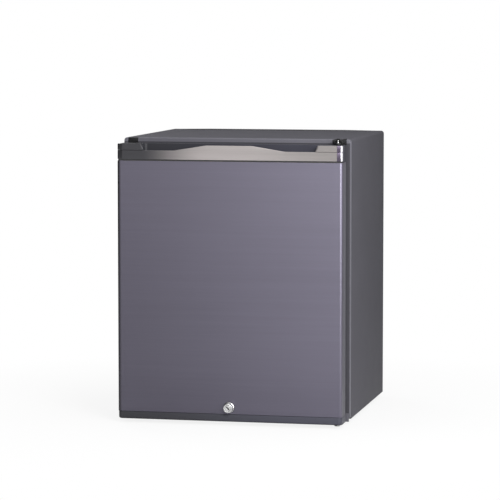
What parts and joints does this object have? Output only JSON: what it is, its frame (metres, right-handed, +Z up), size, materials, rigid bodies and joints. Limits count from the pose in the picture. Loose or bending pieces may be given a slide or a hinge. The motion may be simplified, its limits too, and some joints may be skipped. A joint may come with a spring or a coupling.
{
  "type": "minibar fridge",
  "caption": "Compact minibar fridge with a right-hung lockable door, wavy metal handle strip, sliding shelves, door bins and a silent pipe-and-fin cooling unit open at the back.",
  "frame": {"origin": "on the floor, under the middle of the whole fridge: the door side and the lock count in the depth", "axes": "+Z up, -Y out of the door's front, +X to the right as one faces the door, which is the hinge side"},
  "size_m": [0.4, 0.422, 0.492],
  "materials": {
    "cabinet_paint": "satin",
    "frame_plastic": "satin",
    "door_metal": "satin",
    "handle_steel": "satin",
    "dark_plastic": "satin",
    "black_steel": "satin",
    "chrome": "polished",
    "zinc_steel": "satin",
    "black_enamel": "satin",
    "aluminium": "satin",
    "white_plastic": "satin",
    "seal_rubber": "matte",
    "foam": "matte",
    "clear_plastic": "gloss",
    "foot_rubber": "matte",
    "nylon": "satin"
  },
  "bodies": {
    "cabinet": {"outer_wrapper": "cabinet_paint", "rear_top_bar": "cabinet_paint", "base_plate": "zinc_steel", "back_plate": "zinc_steel", "front_frame": "frame_plastic", "seal_face": "cabinet_paint", "inner_liner": "white_plastic", "foam_body": "foam", "foot_front_left": "foot_rubber", "foot_front_right": "foot_rubber", "foot_rear_left": "foot_rubber", "foot_rear_right": "foot_rubber", "hinge_plug": "dark_plastic", "top_hinge_bracket": "black_steel", "top_hinge_pin": "chrome", "top_hinge_screw_1": "black_steel", "top_hinge_screw_2": "black_steel", "lower_hinge_bracket": "frame_plastic", "lower_hinge_pin": "zinc_steel", "lower_hinge_screw_1": "black_steel", "lower_hinge_screw_2": "black_steel", "strike_plate": "zinc_steel", "evaporator": "aluminium", "thermostat_box": "white_plastic", "lamp_cover": "clear_plastic", "absorber_vessel": "black_enamel", "absorber_coil": "black_enamel", "coil_stub": "black_enamel", "boiler_can": "zinc_steel", "liquid_pipe": "black_enamel", "ammonia_pipe": "black_enamel", "condenser_fins": "aluminium", "return_pipe": "black_enamel", "junction_box": "dark_plastic", "cord_gland": "dark_plastic"},
    "door": {"door_panel": "door_metal", "door_side_left": "frame_plastic", "door_side_right": "frame_plastic", "door_top_cap": "dark_plastic", "door_bottom_cap": "dark_plastic", "top_bush": "nylon", "lower_bush": "nylon", "handle_strip": "handle_steel", "end_block_left": "handle_steel", "end_block_right": "handle_steel", "door_foam": "foam", "door_liner": "white_plastic", "door_gasket": "seal_rubber", "lock_housing": "chrome", "lock_nut": "zinc_steel"},
    "lock_barrel": {"lock_plug": "chrome", "lock_cam": "zinc_steel"},
    "upper_bin": {"upper_rack": "clear_plastic"},
    "lower_bin": {"lower_rack": "clear_plastic"},
    "top_shelf": {"upper_shelf": "clear_plastic"},
    "bottom_shelf": {"lower_shelf": "clear_plastic"},
    "tray": {"drip_tray": "clear_plastic"},
    "temperature_dial": {"thermostat_knob": "white_plastic"},
    "lamp_switch": {"switch_plunger": "white_plastic"}
  },
  "joints": [
    {"name": "door_swing", "type": "hinge", "parent": "cabinet", "child": "door", "pos_m": [0.184, -0.171, 0.2], "axis": [0, 0, 1], "range_deg": [0, 110]},
    {"name": "lock_turn", "type": "hinge", "parent": "door", "child": "lock_barrel", "pos_m": [0, -0.211, 0.032], "axis": [0, 1, 0], "range_deg": [0, 90]},
    {"name": "upper_bin_lift", "type": "slide", "parent": "door", "child": "upper_bin", "axis": [0, 0, 1], "range_m": [0, 0.012]},
    {"name": "lower_bin_lift", "type": "slide", "parent": "door", "child": "lower_bin", "axis": [0, 0, 1], "range_m": [0, 0.012]},
    {"name": "upper_shelf_slide", "type": "slide", "parent": "cabinet", "child": "top_shelf", "axis": [0, -1, 0], "range_m": [0, 0.025]},
    {"name": "lower_shelf_slide", "type": "slide", "parent": "cabinet", "child": "bottom_shelf", "axis": [0, -1, 0], "range_m": [0, 0.025]},
    {"name": "tray_slide", "type": "slide", "parent": "cabinet", "child": "tray", "axis": [0, -1, 0], "range_m": [0, 0.03]},
    {"name": "dial_turn", "type": "hinge", "parent": "cabinet", "child": "temperature_dial", "pos_m": [0.14743, -0.0413, 0.43543], "axis": [0, 1, 0], "range_deg": [0, 270]},
    {"name": "switch_press", "type": "slide", "parent": "cabinet", "child": "lamp_switch", "axis": [0, -1, 0], "range_m": [0, 0.004]}
  ],
  "couplings": [
    {"joint": "switch_press", "follows": "door_swing", "m_per_rad": 0.002}
  ]
}
